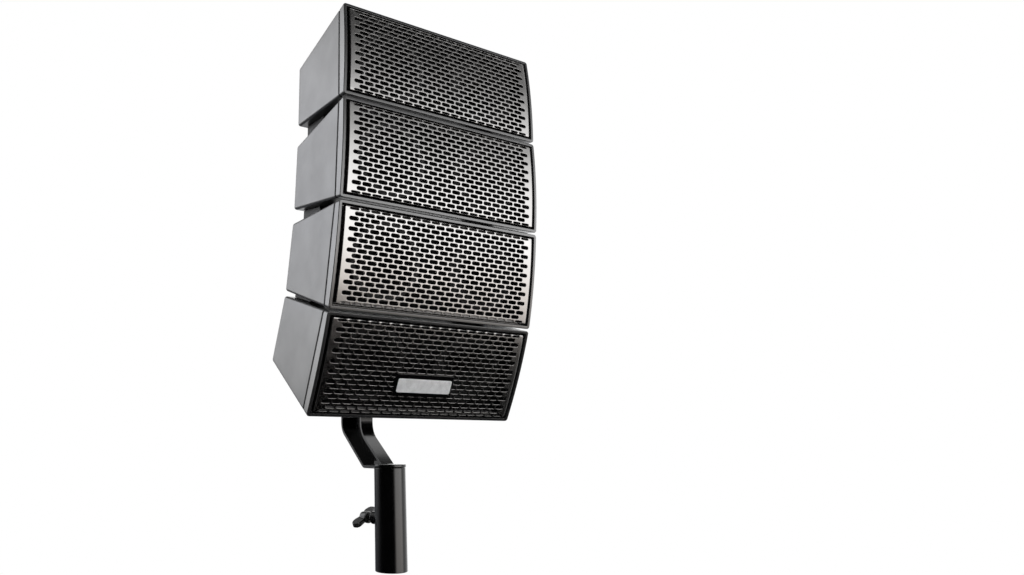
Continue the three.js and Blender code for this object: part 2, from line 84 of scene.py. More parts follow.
GRILLE_X = 151.2
GRILLE_Z = 61.8
GRILLE_PROUD = 0.8
GRILLE_SHEET = 1.2
GRILLE_FOLD = 2.0               # outside radius of the folded edges
SLOT_PITCH = 15.26
ROW_PITCH = 6.65
LAST_ROW = 9
SLOT_LENGTH = 13.3
SLOT_HEIGHT = 4.8
SLOT_LIP = 0.45                 # radius of a slot's rounded front edge
LIP_STEPS = 4
END_SQUEEZE = 0.62              # the end rows are lower slots, drawn in so that they stop at the fold
END_SHIFT = 0.9

INPUT_HOLE = (37.0, 18.0)       # half width and half height
MOUNT_PLATE = 5.0               # thickness
SOCKET_OUTER = 22.0
SOCKET_BORE = 18.1
ARM_HALF_WIDTH = 10.0
ARM_SHEET = 3.0                 # web of the arm's channel
ARM_FLANGE = 4.0
SCREW_BORE = 4.2
BOSS_RADIUS = 8.5
BOSS_END = 31.0
TUBE_TOP = 132.7
CAP_TOP = 137.4
TINY = 1e-6


# ---------- placing ----------

def linked(name, data):
    item = bpy.data.objects.new(name, data)
    bpy.context.scene.collection.objects.link(item)
    return item


def module_matrix(number):
    """The frame of one module: origin at the middle of its front chord, y to the rear, z up its front."""
    travel = next(j for j in frame["joints"] if j["name"] == f"cone_travel_{number}")
    tilt = math.atan2(-travel["axis"][2], -travel["axis"][1])
    turn = Matrix.Rotation(tilt, 4, "X")
    back, up = turn.col[1].to_3d(), turn.col[2].to_3d()
    corners = [v.co for v in frame["nodes"][f"module_{number}_front_bezel"].data.vertices]
    rear = max(c.dot(back) for c in corners) / MM - BEZEL_DEPTH
    middle = (max(c.dot(up) for c in corners) + min(c.dot(up) for c in corners)) / 2 / MM
    return Matrix.Translation(back * rear + up * middle) @ turn


PLACES = {number: module_matrix(number) for number in range(1, MODULES + 1)}
WING_JOINT = next(j for j in frame["joints"] if j["name"] == "wing_turn")
SCREW_HEIGHT = WING_JOINT["pos_m"][2] / MM
SCREW_TURN = math.atan2(-WING_JOINT["axis"][0], WING_JOINT["axis"][1])
SCREW_PLACE = Matrix.Translation((0, 0, SCREW_HEIGHT)) @ Matrix.Rotation(SCREW_TURN, 4, "Z")
UPRIGHT = Matrix.Identity(4)


# ---------- camera ----------

SENSOR = 36.0
LENS = 23.523
SHIFT = (0.1598, -0.0332)
EYE = (-0.5050, -0.8482, 0.1570)    # metres
PITCH = 16.337                  # degrees above the horizon
HEADING = -27.393               # degrees about Z, from +Y


def make_camera():
    data = bpy.data.cameras.new("camera")
    data.sensor_width = SENSOR
    data.lens = LENS
    data.shift_x, data.shift_y = SHIFT
    data.clip_start = 0.02
    data.clip_end = 50
    camera = linked("camera", data)
    camera.location = EYE
    camera.rotation_euler = (math.radians(90 + PITCH), 0, math.radians(HEADING))
    bpy.context.scene.camera = camera


make_camera()
bpy.context.scene.view_settings.view_transform = "Standard"


# ---------- materials ----------

class Nodes:
    """Makes shader nodes. Inputs go in by place or by name, as values or as other nodes' outputs."""

    def __init__(self, tree):
        self.tree = tree

    def feed(self, node, *by_place, **by_name):
        named = [(label.replace("_", " "), value) for label, value in by_name.items()]
        for key, value in [*enumerate(by_place), *named]:
            if isinstance(value, bpy.types.NodeSocket):
                self.tree.links.new(value, node.inputs[key])
            else:
                node.inputs[key].default_value = value

    def add(self, kind, *by_place, **by_name):
        node = self.tree.nodes.new("ShaderNode" + kind)
        self.feed(node, *by_place, **by_name)
        return node


class Shader(Nodes):
    """A Principled material with helpers that add procedural detail in the object's own coordinates."""

    def __init__(self, name, color, roughness, metallic=0.0, **settings):
        self.material = bpy.data.materials.new(name)
        self.material.use_nodes = True
        super().__init__(self.material.node_tree)
        self.shader = self.tree.nodes["Principled BSDF"]
        self.color = color
        self.roughness = roughness
        self.feed(self.shader, Base_Color=(*color, 1), Roughness=roughness, Metallic=metallic, **settings)
        self.place = self.add("TexCoord").outputs["Object"]
        self.height = None

    def noise(self, scale, detail=3.0, rough=0.5, stretch=None):
        place = self.place
        if stretch:
            place = self.add("Mapping", Vector=place, Scale=stretch).outputs["Vector"]
        return self.add("TexNoise", Vector=place, Scale=scale, Detail=detail, Roughness=rough).outputs["Fac"]

    def vary_roughness(self, value, spread):
        varied = self.add("MapRange", Value=value, From_Min=0.3, From_Max=0.7,
                          To_Min=self.roughness - spread, To_Max=self.roughness + spread)
        self.feed(self.shader, Roughness=varied.outputs["Result"])

    def vary_color(self, value, other):
        ramp = self.add("ValToRGB", Fac=value)
        for element, at, color in zip(ramp.color_ramp.elements, (0.35, 0.65), (self.color, other)):
            element.position = at
            element.color = (*color, 1)
        self.feed(self.shader, Base_Color=ramp.outputs["Color"])

    def bump(self, value, distance, strength):
        node = self.add("Bump", Height=value, Distance=distance * MM, Strength=strength)
        if self.height:
            self.feed(node, Normal=self.height)
        self.height = node.outputs["Normal"]
        self.feed(self.shader, Normal=self.height)


def moulded(name, color, roughness, grain=0.03, specular=0.5):
    """Satin injection-moulded plastic: a fine leather-like grain, and a slow change in gloss."""
    shader = Shader(name, color, roughness, IOR=1.52, Specular_IOR_Level=specular)
    shader.vary_color(shader.noise(9, 4), tuple(c * 1.25 for c in color))
    shader.vary_roughness(shader.noise(22, 5, 0.6), 0.035)
    shader.bump(shader.noise(1500, 2), grain, 0.5)
    shader.bump(shader.noise(14, 2), 0.25, 0.25)
    return shader.material


def powder_coat(name, color, roughness, metallic, peel=0.02, specular=0.5):
    """Sprayed and baked paint on sheet metal, with orange peel."""
    shader = Shader(name, color, roughness, metallic, Specular_IOR_Level=specular)
    shader.vary_color(shader.noise(30, 3), tuple(c * 1.15 for c in color))
    shader.vary_roughness(shader.noise(60, 4, 0.6), 0.03)
    shader.bump(shader.noise(900, 2), peel, 0.4)
    return shader.material


def gloss_paint(name, color, roughness):
    shader = Shader(name, color, roughness, Coat_Weight=0.05, Coat_Roughness=0.1, Specular_IOR_Level=0.2)
    shader.vary_color(shader.noise(40, 3), tuple(c * 1.5 for c in color))
    shader.vary_roughness(shader.noise(35, 5, 0.6), 0.04)
    shader.bump(shader.noise(260, 2), 0.02, 0.35)
    return shader.material


def plated(name, color, roughness, stretch=(1, 1, 1), metallic=1.0):
    """Zinc or satin metal with fine brushing along one way."""
    shader = Shader(name, color, roughness, metallic)
    lines = shader.noise(700, 3, 0.6, stretch)
    shader.vary_roughness(lines, 0.07)
    shader.vary_color(shader.noise(120, 3), tuple(c * 0.85 for c in color))
    shader.bump(lines, 0.01, 0.5)
    return shader.material


def fibrous(name, color, roughness, scale, specular=0.5):
    """Pressed paper, nylon or board: a matt mottle with a fine tooth."""
    shader = Shader(name, color, roughness, Specular_IOR_Level=specular)
    shader.vary_color(shader.noise(scale, 5, 0.6), tuple(c * 0.7 for c in color))
    shader.vary_roughness(shader.noise(scale * 2, 3), 0.05)
    shader.bump(shader.noise(scale * 4, 3), 0.05, 0.6)
    return shader.material


LOOKS = {
    "cabinet": moulded("cabinet_plastic", (0.013, 0.013, 0.0135), 0.33),
    "bezel": moulded("bezel_plastic", (0.012, 0.012, 0.0125), 0.24, specular=0.45),
    "grille": powder_coat("grille_paint", (0.124, 0.122, 0.120), 0.24, 1.0),
    "baffle": moulded("baffle_plastic", (0.003, 0.003, 0.003), 0.9, specular=0.05),
    "steel": gloss_paint("bracket_paint", (0.0006, 0.0006, 0.0007), 0.2),
    "link": powder_coat("link_paint", (0.003, 0.003, 0.003), 0.55, 0.0, specular=0.2),
    "basket": powder_coat("basket_paint", (0.005, 0.005, 0.005), 0.6, 0.0, specular=0.15),
    "cone": fibrous("cone_paper", (0.005, 0.005, 0.005), 0.9, 400, specular=0.08),
    "horn": moulded("horn_plastic", (0.004, 0.004, 0.004), 0.7, specular=0.12),
    "magnet": plated("magnet_plating", (0.30, 0.30, 0.31), 0.4),
    "zinc": plated("zinc_plating", (0.62, 0.62, 0.63), 0.3),
    "knob": moulded("knob_plastic", (0.004, 0.004, 0.004), 0.36),
    "nylon": fibrous("nylon", (0.72, 0.70, 0.62), 0.5, 300),
    "board": fibrous("solder_mask", (0.02, 0.08, 0.035), 0.45, 200),
    "badge": plated("badge_metal", (0.90, 0.91, 0.92), 0.32, (1, 30, 30), metallic=0.5),
}


# ---------- mesh helpers: points are (x, y, z) in millimetres, meshes are in metres ----------

def edited(mesh, change):
    """The mesh after change(work), where work is a bmesh that holds it."""
    work = bmesh.new()
    work.from_mesh(mesh)
    change(work)
    work.to_mesh(mesh)
    work.free()
    return mesh


def face_out(work):
    bmesh.ops.recalc_face_normals(work, faces=work.faces)


def mesh_of(points, faces, place=UPRIGHT):
    mesh = bpy.data.meshes.new("piece")
    mesh.from_pydata([(place @ Vector(point)) * MM for point in points], [], faces)
    return edited(mesh, face_out)


def dress(name, mesh, slot, stands_for=None, body="root", sharp=35, weighted=False, look=None):
    """A closed mesh made into a piece with a look, riding on a body and standing for its CAD node."""
    edited(mesh, face_out)
    mesh.name = name
    mesh.shade_smooth()
    mesh.set_sharp_from_angle(angle=math.radians(sharp))
    mesh.materials.clear()
    mesh.materials.append(LOOKS[look or slot])
    piece = linked(name, mesh)
    if weighted:
        normals = piece.modifiers.new("weighted_normals", "WEIGHTED_NORMAL")
        normals.weight = 90
        normals.keep_sharp = True
    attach(piece, body)
    if stands_for:
        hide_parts(stands_for)


def fit(number, name, mesh, slot, stands_for=None, **settings):
    """Moves a mesh made in a module's frame to that module, and dresses it."""
    place = PLACES[number]
    mesh.transform(Matrix.Translation(place.translation * MM) @ place.to_3x3().to_4x4())
    dress(name, mesh, slot, stands_for, **settings)


def copies(name, mesh, slot, stands_for=None, body="root"):
    """The mesh in every module. Names hold {} where the number goes."""
    for number in range(1, MODULES + 1):
        node = stands_for.format(number) if stands_for else None
        fit(number, name.format(number), mesh.copy(), slot, node, body=body.format(number), weighted=True)


def baked(holder):
    """The mesh of an object with its modifiers applied. The object goes."""
    graph = bpy.context.evaluated_depsgraph_get()
    mesh = bpy.data.meshes.new_from_object(holder.evaluated_get(graph))
    bpy.data.objects.remove(holder)
    return mesh


def cut_away(mesh, tool):
    """mesh less tool, both closed."""
    base = linked("base", mesh)
    cutter = linked("cutter", tool)
    modifier = base.modifiers.new("cut", "BOOLEAN")
    modifier.operation = "DIFFERENCE"
    modifier.solver = "EXACT"
    modifier.object = cutter
    result = baked(base)
    bpy.data.objects.remove(cutter)
    return result


def gathered(*meshes):
    """Separate closed bodies in one mesh."""
    work = bmesh.new()
    for mesh in meshes:
        work.from_mesh(mesh)
    together = bpy.data.meshes.new("gathered")
    work.to_mesh(together)
    work.free()
    return together


def bevel_edges(mesh, width, segments, wanted):
    """Rounds the edges for which wanted(edge) is true."""
    def bevel(work):
        edges = [edge for edge in work.edges if wanted(edge)]
        bmesh.ops.bevel(work, geom=edges, offset=width * MM, segments=segments, affect="EDGES", profile=0.5,
                        clamp_overlap=True)

    return edited(mesh, bevel)


def loft(rings, round_trip=False):
    """Faces between rings of equal length. The ends are capped, or on a round trip joined to each other."""
    count = len(rings[0])
    points = [point for ring in rings for point in ring]
    faces = []
    for i in range(len(rings) if round_trip else len(rings) - 1):
        a, b = i * count, (i + 1) % len(rings) * count
        faces += [(a + k, a + (k + 1) % count, b + (k + 1) % count, b + k) for k in range(count)]
    if not round_trip:
        last = (len(rings) - 1) * count
        faces += [tuple(reversed(range(count))), tuple(range(last, last + count))]
    return points, faces


def arc(centre, radius, start, end, steps):
    """Points of an arc as (a, b), from one angle in degrees to another."""
    angles = [math.radians(start + (end - start) * step / steps) for step in range(steps + 1)]
    return [(centre[0] + radius * math.cos(t), centre[1] + radius * math.sin(t)) for t in angles]


def quarter(radius, steps):
    """A rounded edge as (in from the side, in from the face), from the side to the face."""
    angles = [math.radians(90 * step / steps) for step in range(steps + 1)]
    return [(radius * (1 - math.cos(t)), radius * (1 - math.sin(t))) for t in angles]


def rounded_rectangle(half_x, half_z, radius, corner_steps=6, side_steps=12):
    """(x, z) points, anticlockwise from the lower right corner. Only the upright sides are divided."""
    outline = []
    x, z = half_x - radius, half_z - radius
    for centre, start in (((x, -z), -90), ((x, z), 0), ((-x, z), 90), ((-x, -z), 180)):
        corner = arc(centre, radius, start, start + 90, corner_steps)
        if start in (0, 180):
            (side, low), high = outline[-1], corner[0][1]
            outline += [(side, low + (high - low) * (step / side_steps)) for step in range(1, side_steps)]
        outline += corner
    return outline


def at_depth(outline, y):
    return [(x, y, z) for x, z in outline]


def turned(profile, segments, x=0.0, z=0.0, squeeze=None, axis="y", place=UPRIGHT):
    """A profile of (radius, height) turned about an axis. Points on the axis become one point."""
    points, rows, faces = [], [], []
    for radius, height in profile:
        row = []
        for k in range(1 if radius < TINY else segments):
            angle = 2 * math.pi * k / segments
            a, b = radius * math.cos(angle), radius * math.sin(angle)
            if squeeze:
                b *= squeeze(height)
            row.append(len(points))
            points.append((x + a, height, z + b) if axis == "y" else (a, b, height))
        rows.append(row)
    closed = profile[0] != profile[-1] and profile[0][0] > TINY
    pairs = list(zip(rows, rows[1:] + rows[:1]))
    for low, high in pairs if closed else pairs[:-1]:
        if len(low) == len(high) == 1:
            continue
        for k in range(segments):
            n = (k + 1) % segments
            if len(low) == 1:
                faces.append((low[0], high[n], high[k]))
            elif len(high) == 1:
                faces.append((low[k], low[n], high[0]))
            else:
                faces.append((low[k], low[n], high[n], high[k]))
    return mesh_of(points, faces, place)


def rod(radius, start, end, segments, x=0.0, z=0.0, squeeze=None, place=UPRIGHT):
    """A plain cylinder along y, to cut a hole with."""
    profile = [(0, start), (radius, start), (radius, end), (0, end)]
    return turned(profile, segments, x, z, squeeze, place=place)


def corner_curve(before, here, after, reaches, steps):
    """A short curve in place of a corner, with its reach along the side before it and the side after."""
    start = here + (before - here).normalized() * reaches[0]
    end = here + (after - here).normalized() * reaches[1]
    return [tuple(start * (1 - t) ** 2 + here * 2 * t * (1 - t) + end * t ** 2)
            for t in (step / steps for step in range(steps + 1))]


def soften(profile, radius, steps=3, skip=()):
    """Rounds the corners of an open or closed (r, h) profile; corners on the axis stay."""
    rounded = []
    for i, corner in enumerate(profile):
        if corner[0] < TINY or i in skip:
            rounded.append(corner)
            continue
        before, here, after = (Vector(profile[k % len(profile)]) for k in (i - 1, i, i + 1))
        reach = min(radius, (here - before).length * 0.45, (here - after).length * 0.45)
        rounded += corner_curve(before, here, after, (reach, reach), steps)
    return rounded


def round_outline(corners):
    """Corners given as (y, z, radius), each rounded by a short curve."""
    outline = []
    for i, (y, z, radius) in enumerate(corners):
        if radius == 0:
            outline.append((y, z))
            continue
        before, here, after = (Vector(corners[k % len(corners)][:2]) for k in (i - 1, i, i + 1))
        reaches = [min(radius, (side - here).length * 0.49) for side in (before, after)]
        outline += corner_curve(before, here, after, reaches, 8)
    return outline


def rounded_box(low, high, radius, segments=3):
    """A box between two corners, all its edges rounded."""
    (x0, y0, z0), (x1, y1, z1) = low, high
    points = [(x, y, z) for x in (x0, x1) for y in (y0, y1) for z in (z0, z1)]
    faces = [(0, 1, 3, 2), (4, 6, 7, 5), (0, 4, 5, 1), (2, 3, 7, 6), (0, 2, 6, 4), (1, 5, 7, 3)]
    return bevel_edges(mesh_of(points, faces), radius, segments, lambda edge: True)


# ---------- cabinet shell ----------

def wedge_half(y):
    return HALF_FRONT - SLOPE * y


def shell_outline(y, inset=0.0):
    radius = max(EDGE_ROUND - inset, 1.0)
    return at_depth(rounded_rectangle(HALF_WIDTH - inset, wedge_half(y) - inset, radius), y)


def cabinet_shell(number):
    """A tray with rounded edges, open at the front, with a shallow step where the bezel meets it."""
    front = BEZEL_DEPTH + GAP
    groove = [(0.0, 2.4), (0.0, 1.7), (0.45, 0.9), (1.1, 0.35), (2.0, 0.0)]
    rings = [shell_outline(front + y, inset) for y, inset in groove]
    rings += [shell_outline(front + (DEPTH - REAR_ROUND - front) * share) for share in (0.25, 0.5, 0.75)]
    rings += [shell_outline(DEPTH - back, inset) for inset, back in quarter(REAR_ROUND, 6)]
    inner = [shell_outline(DEPTH - WALL, WALL), shell_outline(front, WALL)]
    if number == 1:
        hole = rounded_rectangle(*INPUT_HOLE, 3.0)
        shape = loft([*rings, at_depth(hole, DEPTH), at_depth(hole, DEPTH - WALL), *inner], round_trip=True)
    else:
        shape = loft([*reversed(rings), *reversed(inner)])
    dress(f"cabinet_shell_{number}", mesh_of(*shape, PLACES[number]), "cabinet",
          f"module_{number}_cabinet_shell", weighted=True)


# ---------- front bezel ----------

BEZEL_ARC = (HALF_FRONT ** 2 + BULGE ** 2) / (2 * BULGE)


def bulge(z):
    """How far the curved front stands past the front chord."""
    z = min(abs(z), HALF_FRONT)
    return math.sqrt(BEZEL_ARC ** 2 - z ** 2) - (BEZEL_ARC - BULGE)


def bezel_ring(inset, y, follows_front=True):
    half_z = wedge_half(y) - inset
    outline = rounded_rectangle(HALF_WIDTH - inset, half_z, max(EDGE_ROUND - inset, 0.6), 6, 16)
    return [(x, y - (bulge(z) if follows_front else 0), z) for x, z in outline]


def front_bezel(number):
    """A frame with a rounded nose, a recess for the grille and a ledge behind it."""
    groove = [(0.0, 1.7), (0.4, 0.9), (1.0, 0.35), (1.8, 0.0), (4.0, 0.0)]
    rings = [bezel_ring(inset, BEZEL_DEPTH - y, False) for y, inset in groove]
    rings += [[(x, y + bulge(z) * share, z) for x, y, z in bezel_ring(0, y_at)]
              for share, y_at in ((0.6, 7.5), (0.3, 5.0))]
    rings += [bezel_ring(inset, y) for inset, y in quarter(BEZEL_NOSE, 5)]
    rings += [bezel_ring(BEZEL_RIM - inset, y) for inset, y in ((0.5, 0), (0.15, 0.15), (0, 0.5))]
    inner = BEZEL_RIM + LEDGE_WIDTH
    rings += [bezel_ring(inset, y, False) for inset, y in
              ((BEZEL_RIM, LEDGE), (inner, LEDGE), (inner, BEZEL_DEPTH))]
    mesh = mesh_of(*loft(rings, round_trip=True), PLACES[number])
    dress(f"front_bezel_{number}", mesh, "bezel", f"module_{number}_front_bezel", weighted=True)


# ---------- perforated grille ----------

GRILLE_ARC = (GRILLE_Z ** 2 + BULGE ** 2) / (2 * BULGE)
FLAT_X = GRILLE_X - GRILLE_FOLD
# The front arc rolls into the fold where the fold's outside just reaches the pan's half height.
FOLD_LEAN = math.asin((GRILLE_Z - GRILLE_FOLD) / (GRILLE_ARC - GRILLE_FOLD))
FOLD_START = GRILLE_ARC * FOLD_LEAN
FOLD_LENGTH = GRILLE_FOLD * (math.pi / 2 - FOLD_LEAN)
FLANGE = 5.6


def roll(s, depth):
    """(y, z) of the sheet at the distance s up from its middle, and depth under its front surface."""
    sign = 1 if s >= 0 else -1
    s = abs(s)
    centre_y = GRILLE_ARC - BULGE - GRILLE_PROUD
    if s <= FOLD_START:
        lean = s / GRILLE_ARC
        reach = GRILLE_ARC - depth
        return centre_y - reach * math.cos(lean), sign * reach * math.sin(lean)
    inner = GRILLE_ARC - GRILLE_FOLD
    fold_y = centre_y - inner * math.cos(FOLD_LEAN)
    fold_z = inner * math.sin(FOLD_LEAN)
    reach = GRILLE_FOLD - depth
    if s <= FOLD_START + FOLD_LENGTH:
        lean = FOLD_LEAN + (s - FOLD_START) / GRILLE_FOLD
        return fold_y - reach * math.cos(lean), sign * (fold_z + reach * math.sin(lean))
    return fold_y + (s - FOLD_START - FOLD_LENGTH), sign * (fold_z + reach)


def sheet_point(x, s, depth):
    """A point of the pan from its place on the unrolled sheet."""
    side = 1 if x >= 0 else -1
    across = abs(x)
    if across <= FLAT_X:
        y, z = roll(s, depth)
        return x, y, z
    reach = GRILLE_FOLD - depth
    y_front, z = roll(s, 0)
    angle = (across - FLAT_X) / GRILLE_FOLD
    if angle <= math.pi / 2:
        y = y_front + GRILLE_FOLD - reach * math.cos(angle)
        return side * (FLAT_X + reach * math.sin(angle)), y, z
    back = across - FLAT_X - GRILLE_FOLD * math.pi / 2
    return side * (FLAT_X + reach), y_front + GRILLE_FOLD + back, z


def slot_ring(grow, steps=7):
    """An upright-ended obround, as (x, s) offsets from its centre, anticlockwise from the right."""
    radius = SLOT_HEIGHT / 2
    straight = SLOT_LENGTH / 2 - radius
    right = arc((straight, 0), radius + grow, -90, 90, steps)
    left = arc((-straight, 0), radius + grow, 90, 270, steps)
    return right + left


def end_row(row, b):
    """The height of a slot's point over its row's middle, changed in the first and last rows."""
    if abs(row) < LAST_ROW:
        return b
    return b * END_SQUEEZE - math.copysign(END_SHIFT, row)


def by_angle(points):
    return sorted(points, key=lambda p: math.atan2(p[1], p[0]))


def bridge(outer, outer_ids, inner, inner_ids):
    """Triangles between two loops round one centre, both in order of their angle."""
    faces = []
    i = j = 0
    outer_turn, inner_turn = [[math.atan2(b, a) for a, b in loop] for loop in (outer, inner)]
    for turn in (outer_turn, inner_turn):
        turn.append(turn[0] + 2 * math.pi)
    while i < len(outer) or j < len(inner):
        a, b = outer_ids[i % len(outer)], inner_ids[j % len(inner)]
        if j == len(inner) or (i < len(outer) and outer_turn[i + 1] <= inner_turn[j + 1]):
            i += 1
            faces.append((a, outer_ids[i % len(outer)], b))
        else:
            j += 1
            faces.append((a, inner_ids[j % len(inner)], b))
    return faces


class Sheet:
    """The points of one face of the sheet, shared between neighbours by their place."""

    def __init__(self, points, depth):
        self.points = points
        self.depth = depth
        self.known = {}

    def at(self, x, s):
        key = (round(x, 3), round(s, 3))
        if key not in self.known:
            self.known[key] = len(self.points)
            self.points.append(sheet_point(x, s, self.depth))
        return self.known[key]

    def square(self, x0, x1, a, b):
        return self.at(x0, a), self.at(x1, a), self.at(x1, b), self.at(x0, b)


def fold_steps(low, high):
    """Places between low and high where the fold needs a point, along the sheet."""
    marks = [FOLD_START + FOLD_LENGTH * k / 4 for k in range(5)]
    marks += [-mark for mark in marks]
    return sorted(mark for mark in marks if low + 0.05 < mark < high - 0.05)


def across_marks():
    """Places across the sheet where its cells meet, out to the side folds."""
    cells = [round(k * SLOT_PITCH / 2, 6) for k in range(-2 * LAST_ROW - 1, 2 * LAST_ROW + 2)]
    return [-FLAT_X, *cells, FLAT_X]


def side_marks():
    """Places across the border and round the side fold, from the last slots' cells outwards."""
    marks = [(LAST_ROW + 0.5) * SLOT_PITCH, FLAT_X]
    marks += [FLAT_X + GRILLE_FOLD * math.pi / 2 * k / 4 for k in range(1, 5)]
    return marks + [marks[-1] + FLANGE]


def grille_cells():
    """For each row: its lowest and highest line, and the x of its slots' centres."""
    for row in range(-LAST_ROW, LAST_ROW + 1):
        if row % 2:
            centres = [k * SLOT_PITCH for k in range(-LAST_ROW, LAST_ROW + 1)]
        else:
            centres = [(k + 0.5) * SLOT_PITCH for k in range(-LAST_ROW, LAST_ROW)]
        yield row, (row - 0.5) * ROW_PITCH, (row + 0.5) * ROW_PITCH, centres


def grille(number):
    """A curved pan of thin sheet, with rows of slots with rounded lips, and folded edges all round."""
    points, faces = [], []
    front, back = Sheet(points, 0.0), Sheet(points, GRILLE_SHEET)
    half = SLOT_PITCH / 2
    lips = [(grow, depth) for depth, grow in quarter(SLOT_LIP, LIP_STEPS)]
    lips.append((0.0, GRILLE_SHEET))
    edge = (LAST_ROW + 0.5) * SLOT_PITCH

    def patch(sheet, low, high, x0, x1):
        lines = [low, *fold_steps(low, high), high]
        for a, b in zip(lines, lines[1:]):
            faces.append(sheet.square(x0, x1, a, b))

    for row, low, high, centres in grille_cells():
        marks = fold_steps(low, high)
        for x in centres:
            middle = (low + high) / 2
            box = [(half, low), (half, high), (0, high), (-half, high), (-half, low), (0, low)]
            box += [(side * half, mark) for mark in marks for side in (-1, 1)]
            box = by_angle([(a, b - middle) for a, b in box])
            rings = []
            for grow, depth in lips:
                outline = by_angle([(a, end_row(row, b)) for a, b in slot_ring(grow)])
                start = len(points)
                points.extend(sheet_point(x + a, middle + b, depth) for a, b in outline)
                rings.append((outline, list(range(start, start + len(outline)))))
            for sheet, (outline, ids) in ((front, rings[0]), (back, rings[-1])):
                box_ids = [sheet.at(x + a, middle + b) for a, b in box]
                faces.extend(bridge(box, box_ids, outline, ids))
            for (_, a), (_, b) in zip(rings, rings[1:]):
                count = len(a)
                faces.extend((a[k], a[(k + 1) % count], b[(k + 1) % count], b[k]) for k in range(count))
        if row % 2 == 0:
            for sheet in (front, back):
                patch(sheet, low, high, -edge, half - edge)
                patch(sheet, low, high, edge - half, edge)
    add_border(front, back, faces, edge)
    mesh = mesh_of(points, faces, PLACES[number])
    dress(f"grille_{number}", mesh, "grille", f"module_{number}_grille", sharp=50, weighted=True)


def add_border(front, back, faces, edge):
    """The plain edges of the sheet: side strips with their fold, and the flanges above and below."""
    top = (LAST_ROW + 0.5) * ROW_PITCH
    levels = [round((row + 0.5) * ROW_PITCH, 6) for row in range(-LAST_ROW - 1, LAST_ROW + 1)]
    lines = []
    for low, high in zip(levels, levels[1:]):
        lines += [low, *fold_steps(low, high)]
    lines.append(levels[-1])
    sides = side_marks()
    stops = across_marks()
    flat_lines = [s for s in lines if abs(s) <= FOLD_START + TINY]
    for sheet in (front, back):
        for side in (-1, 1):
            for a, b in zip(lines, lines[1:]):
                marks = sides[:2] if max(abs(a), abs(b)) > FOLD_START + TINY else sides
                for x0, x1 in zip(marks, marks[1:]):
                    faces.append(sheet.square(side * x0, side * x1, a, b))
        for sign in (-1, 1):
            for x0, x1 in zip(stops, stops[1:]):
                a, b = sign * top, sign * (FOLD_START + FOLD_LENGTH + FLANGE)
                faces.append(sheet.square(x0, x1, a, b))
    rim = border_loop(sides, lines, flat_lines, stops)
    for (x0, a), (x1, b) in zip(rim, rim[1:] + rim[:1]):
        faces.append((front.at(x0, a), front.at(x1, b), back.at(x1, b), back.at(x0, a)))


def border_loop(sides, lines, flat_lines, stops):
    """The sheet's outline, notched at its corners, in order round it."""
    end = FOLD_START + FOLD_LENGTH + FLANGE
    folded = [s for s in lines if s > FOLD_START + TINY] + [end]
    corner_up = [(FLAT_X, s) for s in folded]
    right = [(sides[-1], s) for s in flat_lines]
    out = [(x, flat_lines[0]) for x in sides[2:-1]]
    back_in = [(x, flat_lines[-1]) for x in reversed(sides[2:-1])]
    right_side = [(FLAT_X, flat_lines[0]), *out, *right, *back_in, (FLAT_X, flat_lines[-1])]
    upper = [*corner_up, *[(x, end) for x in reversed(stops[1:-1])]]
    upper += [(-x, s) for x, s in reversed(corner_up)]
    left_side = [(-x, -s) for x, s in right_side]
    lower = [(-x, -s) for x, s in upper]
    return right_side + upper + left_side + lower


# ---------- badge ----------

def badge():
    """A blank brushed nameplate on a dark backing plate that lies along the grille's curve."""
    low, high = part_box("badge_plate")
    centre = (low + high) / 2
    back, up = PLACES[4].col[1].to_3d(), PLACES[4].col[2].to_3d()
    origin = PLACES[4].translation
    y = centre.dot(back) / MM - origin.dot(back)
    z = centre.dot(up) / MM - origin.dot(up)
    lean = math.asin(-z / GRILLE_ARC)
    place = PLACES[4] @ Matrix.Translation((centre.x / MM, y, z)) @ Matrix.Rotation(lean, 4, "X")
    backing = [at_depth(rounded_rectangle(45 - inset, 15.5 - inset, 1.6, 5, 2), depth)
               for inset, depth in ((0.2, 0.8), (0, 0.6), (0, -0.4), (0.15, -0.7), (0.45, -0.8))]
    dress("badge_backing", mesh_of(*loft(backing), place), "steel", "badge_plate", weighted=True)
    face = [at_depth(rounded_rectangle(42 - inset, 9.5 - inset, 2.2, 6, 2), depth)
            for inset, depth in ((0.0, -0.82), (0, -1.5), (0.12, -1.72), (0.4, -1.8))]
    dress("badge_nameplate", mesh_of(*loft(face), place), "badge", weighted=True)


# ---------- bracket ----------

def prism(outline, x0, x1):
    """A side outline of (y, z) points carried along X."""
    return loft([[(x0, y, z) for y, z in outline], [(x1, y, z) for y, z in outline]])


def inset_corners(corners, distance):
    """Corners (y, z, radius), which run clockwise, moved inwards so that every side stands back."""
    moved = []
    for i, (y, z, radius) in enumerate(corners):
        here = Vector((y, z))
        arriving = (here - Vector(corners[i - 1][:2])).normalized()
        leaving = (Vector(corners[(i + 1) % len(corners)][:2]) - here).normalized()
        turn = arriving.x * leaving.y - arriving.y * leaving.x
        place = here + (arriving - leaving) * (distance / turn)
        moved.append((place.x, place.y, max(radius + math.copysign(distance, turn), 1.5)))
    return moved


